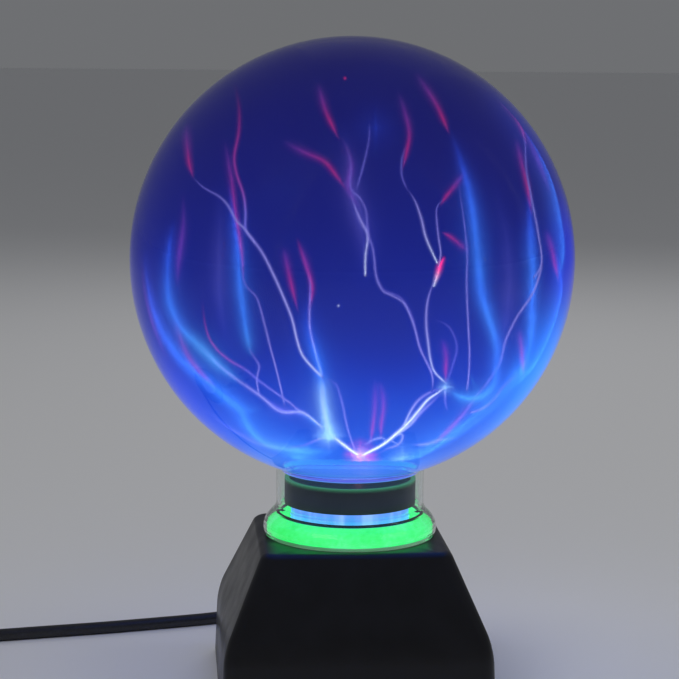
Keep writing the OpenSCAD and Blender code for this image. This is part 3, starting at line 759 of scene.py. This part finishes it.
# place, side, reach, colour and level
spots = [
    ((4.6, 108), 0, 10, "pink", 0.9), ((4.6, 107.6), 0, 6, "white", 1.0),
    ((8, 105.6), 0, 9, "rose", 0.5), ((-10, 117), -0.6, 10, "ice", 0.6),
    ((-4, 279), -0.3, 1.3, "pink", 0.4), ((-6, 177), -0.8, 1.2, "white", 0.4),
    ((43, 140), -0.5, 6, "ice", 0.4), ((-24, 106), 0, 13, "cyan", 0.35),
    ((24, 106), 0, 11, "ice", 0.35), ((10, 257), -0.8, 16, "blue", 0.08),
    ((78, 147), -0.5, 10, "cyan", 0.2)
]
for spot in spots:
    glowSpot(*spot)

streamerGlow = keep(glowMesh, "streamerGlow", smooth=False)
streamerGlow.data.materials.append(softGlow)
streamerGlow.visible_shadow = False
streamerCores = keep(coreMesh, "streamerThreads")
streamerCores.data.materials.append(brightCore)
streamerCores.visible_shadow = False
print("streamers made:", len(streamers))


# materials of the CAD nodes
def glowingRing(name):
    made, tree, shader = newMaterial(name, color=(0.02, 0.12, 0.05), roughness=0.5, strength=1.0, shine=0.2)
    place = objectPoint(tree)
    frost = add(tree, "ShaderNodeTexNoise", {"Vector": place, "Scale": 420.0, "Detail": 3.0}).outputs[0]
    cloud = add(tree, "ShaderNodeTexNoise", {"Vector": place, "Scale": 60.0, "Detail": 2.0}).outputs[0]
    both = sums(tree, "ADD", sums(tree, "MULTIPLY", frost, 0.4), sums(tree, "MULTIPLY", cloud, 0.6))
    tree.links.new(ramp(tree, both, [(0.3, (0.03, 0.9, 0.13)), (0.5, (0.06, 1.0, 0.24)),
                                     (0.68, (0.13, 1.0, 0.38))]), shader.inputs["Emission Color"])
    bump(tree, shader, frost, 0.3, 0.0001)
    return made


# a metal band with painted light: its blue streaks are emission that stands for the plasma's glow falling on
# it
def mirrorPaintedGlow(name):
    made, tree, shader = newMaterial(name, color=(0.2, 0.35, 0.7), metallic=1.0, roughness=0.3, strength=1.0)
    place = add(tree, "ShaderNodeSeparateXYZ", {0: objectPoint(tree)})
    angle = sums(tree, "ARCTAN2", place.outputs[1], place.outputs[0])
    paintedGlowStreak = add(tree, "ShaderNodeTexNoise", {"W": angle, "Scale": 2.6, "Detail": 2.0},
                 noise_dimensions="1D").outputs[0]
    tree.links.new(ramp(tree, paintedGlowStreak, [(0.36, (0.05, 0.24, 0.85)), (0.5, (0.11, 0.27, 0.92)),
                                       (0.64, (0.26, 0.44, 1.0))]), shader.inputs["Emission Color"])
    return made


# a dark collar with painted light: a green glow along its top edge and a faint blue glow lower down, given as
# emission by height; its smoky base colour is its own uneven tone
def collarPaintedGlow(name):
    made, tree, shader = newMaterial(name, roughness=0.6, strength=1.0, shine=0.1)
    rise = heightIn(tree, 87, 98.5)
    tree.links.new(ramp(tree, rise, [(0.0, (0.001, 0.014, 0.012)), (0.3, (0.003, 0.008, 0.022)),
                                     (0.85, (0.002, 0.006, 0.012)), (0.93, (0.01, 0.08, 0.045)),
                                     (0.99, (0.03, 0.17, 0.09))]),
                   shader.inputs["Emission Color"])
    smoke = add(tree, "ShaderNodeTexNoise", {"Vector": objectPoint(tree), "Scale": 90.0,
                                             "Detail": 2.0}).outputs[0]
    tree.links.new(ramp(tree, smoke, [(0.35, (0.004, 0.006, 0.008)), (0.7, (0.015, 0.018, 0.022))]),
                   shader.inputs["Base Color"])
    return made


def litFloor(name):
    made, tree, shader = newMaterial(name, color=(0.02, 0.04, 0.2), roughness=0.25, strength=1.0, shine=0.3)
    place = add(tree, "ShaderNodeSeparateXYZ", {0: objectPoint(tree)})
    reach = sums(tree, "SQRT", sums(tree, "ADD", sums(tree, "POWER", place.outputs[0], 2.0),
                                    sums(tree, "POWER", place.outputs[1], 2.0)))
    out = add(tree, "ShaderNodeMapRange", {"Value": reach, "From Min": 0.0,
                                           "From Max": globe["hole"] * mm}).outputs[0]
    tree.links.new(ramp(tree, out, [(0.0, (0.18, 0.33, 1.0)), (0.7, (0.07, 0.44, 1.0)),
                                    (0.93, (0.09, 0.58, 1.0)), (0.985, (0.10, 0.12, 0.75))]),
                   shader.inputs["Emission Color"])
    return made


blackPlastic = moulded("blackPlastic", (0.008, 0.008, 0.01), 0.36, 1800, 0.00002, shine=0.3)
darkPlastic = moulded("darkPlastic", (0.02, 0.02, 0.022), 0.5)
footRubber = moulded("footRubber", (0.03, 0.03, 0.03), 0.75, 1200, 0.00005)
screwSteel = moulded("screwSteel", (0.55, 0.55, 0.57), 0.3, 900, 0.00001, metallic=1.0)
brass = moulded("brass", (0.8, 0.58, 0.25), 0.3, 900, 0.00001, metallic=1.0)
aluminium = moulded("aluminium", (0.72, 0.73, 0.75), 0.38, 700, 0.00002, stretch=(1, 1, 12), metallic=1.0)
boardGreen = moulded("boardGreen", (0.03, 0.22, 0.08), 0.35, 700, 0.00003, change=0.35)
boardWhite = moulded("boardWhite", (0.75, 0.78, 0.75), 0.4, 700, 0.00002)
whitePlastic = moulded("whitePlastic", (0.75, 0.75, 0.72), 0.45)
ledLens = moulded("ledLens", (0.4, 1.0, 0.55), 0.3, strength=2.0, glow=(0.1, 1.0, 0.35))
ferrite = moulded("ferrite", (0.05, 0.05, 0.055), 0.6, 800, 0.00006)
copperWire = moulded("copperWire", (0.5, 0.2, 0.07), 0.35, 900, 0.0001, stretch=(0.05, 0.05, 1), metallic=0.6)
chipPlastic = moulded("chipPlastic", (0.02, 0.02, 0.022), 0.5)
capBlue = moulded("capBlue", (0.03, 0.06, 0.22), 0.3)
capBrown = moulded("capBrown", (0.45, 0.18, 0.04), 0.3)
resistorTan = moulded("resistorTan", (0.6, 0.5, 0.35), 0.4)
wireRed = moulded("wireRed", (0.6, 0.04, 0.03), 0.4)
wireYellow = moulded("wireYellow", (0.7, 0.6, 0.05), 0.4)
wireBlue = moulded("wireBlue", (0.04, 0.12, 0.5), 0.4)
fuseGlass = moulded("fuseGlass", (0.8, 0.85, 0.9), 0.1, clear=0.8)
# the electrode tip's pink emission is painted glow of the plasma's hot spot on the metal
tipMetalPaintedGlow = moulded("tipMetalPaintedGlow", (0.8, 0.7, 0.75), 0.3, metallic=1.0, strength=4.0, glow=(1.0, 0.35, 0.55))
pinMetal = moulded("pinMetal", (0.75, 0.75, 0.77), 0.2, metallic=1.0)
neckGlass = clearGlass("neckGlass", (0.9, 0.97, 0.95), 1.32)

finishes = dict(
    base_housing=blackPlastic, bottom_plate=darkPlastic, housing_screws=screwSteel,
    rubber_feet=footRubber, glass_neck=neckGlass, glass_floor=litFloor("litFloor"),
    electrode_tip=tipMetalPaintedGlow, high_voltage_lead=wireRed, insulating_collar=collarPaintedGlow("collarPaintedGlow"),
    reflector_band=mirrorPaintedGlow("mirrorPaintedGlow"), neck_cup=whitePlastic, seal_ring=footRubber,
    diffuser_ring=glowingRing("glowingRing"), led_board=boardWhite, green_leds=ledLens,
    led_wires=wireYellow, main_circuit_board=boardGreen, board_standoffs=brass,
    board_screws=screwSteel, transformer_core=ferrite, transformer_coil=copperWire,
    power_transistor=chipPlastic, transistor_screw=screwSteel, heat_sink=aluminium,
    filter_capacitor=capBlue, small_capacitors=capBrown, resistors=resistorTan, fuse=fuseGlass,
    microphone=aluminium, switch_body=darkPlastic, switch_rocker=blackPlastic, switch_wires=wireBlue,
    strain_relief=sheath, plug_body=sheath, plug_pins=pinMetal
)
for node, material in finishes.items():
    paint(node, material)
nodes["glass_neck"].visible_shadow = False
print("CAD nodes finished:", len(finishes))


# the floor and the studio light
studio = dict(
    floorSize=60.0, floorColor=(0.86, 0.86, 0.87), world=0.2, worldColor=(0.78, 0.8, 0.84),
    aim=(0, 0, 0.12), lightSize=0.9,  # in metres
    lights=[("keyLight", (-0.9, -0.8, 1.5), 7.0), ("fillLight", (1.2, -0.5, 0.9), 3.5),
            ("backLight", (0.3, 1.3, 1.2), 3.5)]
)


def studioFloor():
    bm = bmesh.new()
    bmesh.ops.create_grid(bm, x_segments=1, y_segments=1, size=studio["floorSize"] / 2)
    mesh = bpy.data.meshes.new("studioFloor")
    bm.to_mesh(mesh)
    bm.free()
    made = bpy.data.objects.new("studioFloor", mesh)
    bpy.context.collection.objects.link(made)
    material, tree, shader = newMaterial("studioFloor", color=studio["floorColor"], roughness=0.55)
    mesh.materials.append(material)


def softLight(name, place, power):
    data = bpy.data.lights.new(name, "AREA")
    data.size = studio["lightSize"]
    data.energy = power
    made = bpy.data.objects.new(name, data)
    made.location = place
    made.rotation_euler = (Vector(studio["aim"]) - Vector(place)).to_track_quat("-Z", "Y").to_euler()
    bpy.context.collection.objects.link(made)
    made.visible_glossy = False


studioFloor()
for light in studio["lights"]:
    softLight(*light)
world = bpy.data.worlds.new("studioWorld")
bpy.context.scene.world = world
world.use_nodes = True
world.node_tree.nodes["Background"].inputs[0].default_value = (*studio["worldColor"], 1)
world.node_tree.nodes["Background"].inputs[1].default_value = studio["world"]
print("studio lit")
